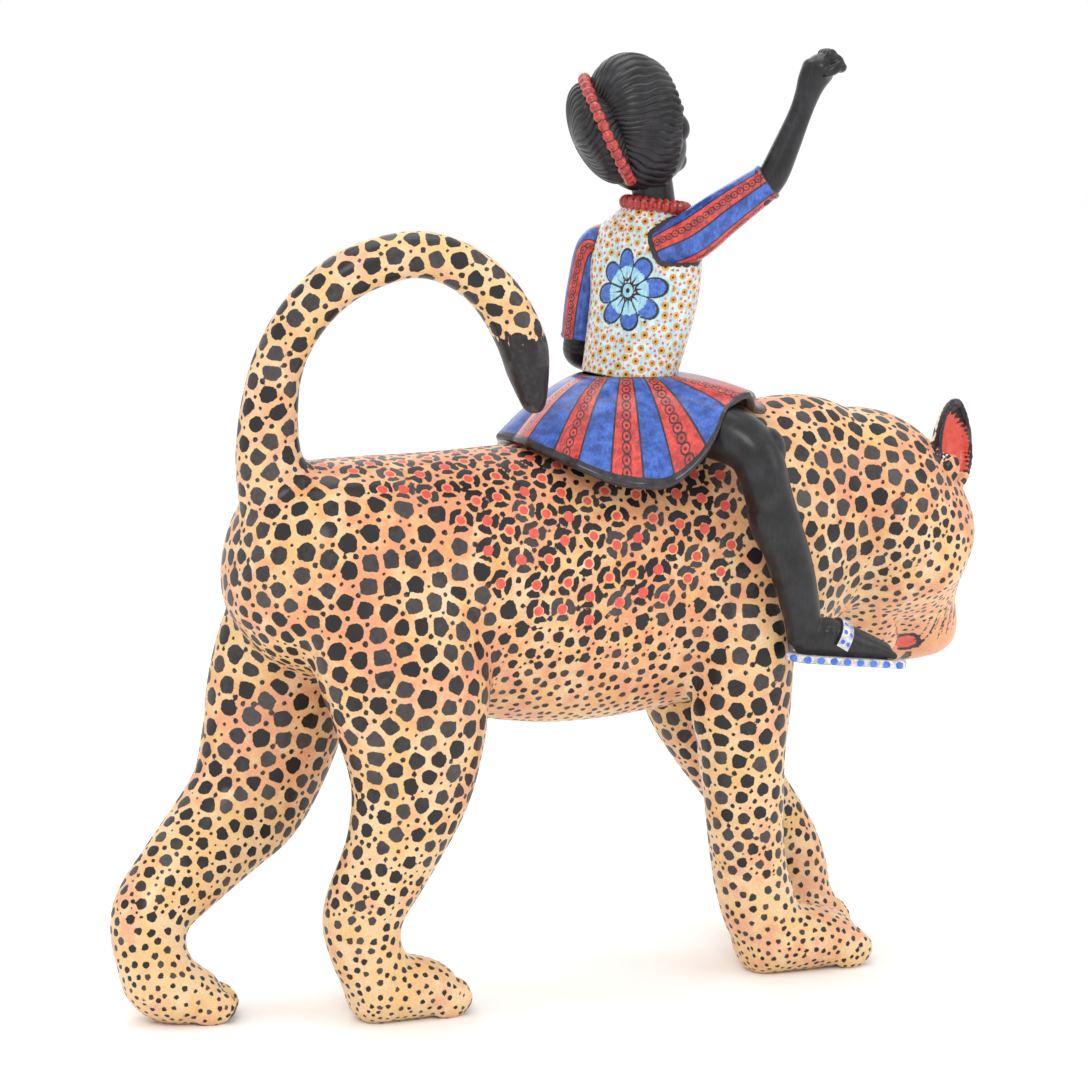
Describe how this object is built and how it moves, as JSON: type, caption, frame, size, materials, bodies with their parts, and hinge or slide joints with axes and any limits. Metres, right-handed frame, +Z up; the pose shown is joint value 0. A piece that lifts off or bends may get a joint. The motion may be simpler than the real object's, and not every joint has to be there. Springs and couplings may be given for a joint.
{
  "type": "ceramic animal figure with rider",
  "caption": "Glazed ceramic leopard in mid stride with arched tail, carrying a rider with a raised fist who lifts off a pegged seat.",
  "frame": {"origin": "on the ground, under the middle of the figure's plan", "axes": "+X towards the leopard's head, -Y its right side, +Z up"},
  "size_m": [0.402, 0.1386, 0.3932],
  "materials": {
    "coat": "painted spots under a clear gloss glaze",
    "black": "black slip under a satin glaze",
    "ear_red": "brushed red and black under gloss glaze",
    "eye": "painted under gloss glaze",
    "stripe_cloth": "blue and red painted stripes under gloss glaze",
    "vest": "painted dots and flower under gloss glaze",
    "red_trim": "red with black marks under gloss glaze",
    "sandal": "white with blue dots under gloss glaze",
    "bare_clay": "unglazed, matt"
  },
  "bodies": {
    "leopard": {"trunk": "coat", "socket_collar": "bare_clay", "head": "coat", "jaw": "coat", "nose": "black", "right_eye": "eye", "left_eye": "eye", "right_ear": "ear_red", "left_ear": "ear_red", "right_foreleg": "coat", "left_foreleg": "coat", "right_hindleg": "coat", "left_hindleg": "coat", "right_forepaw": "coat", "left_forepaw": "coat", "right_hindpaw": "coat", "left_hindpaw": "coat", "tail": "coat"},
    "rider": {"seat": "bare_clay", "skirt": "stripe_cloth", "bodice": "vest", "neck": "black", "rider_head": "black", "hair": "black", "hair_puff": "black", "headband": "red_trim", "necklace": "red_trim", "right_sleeve": "stripe_cloth", "right_forearm": "black", "right_fist": "black", "left_sleeve": "stripe_cloth", "left_forearm": "black", "left_hand": "black", "right_leg": "black", "left_leg": "black", "right_foot": "black", "left_foot": "black", "right_sole": "sandal", "left_sole": "sandal", "right_strap": "sandal", "left_strap": "sandal"}
  },
  "joints": [
    {"name": "rider_lift", "type": "slide", "parent": "leopard", "child": "rider", "axis": [0, 0, 1], "range_m": [0, 0.115]}
  ]
}
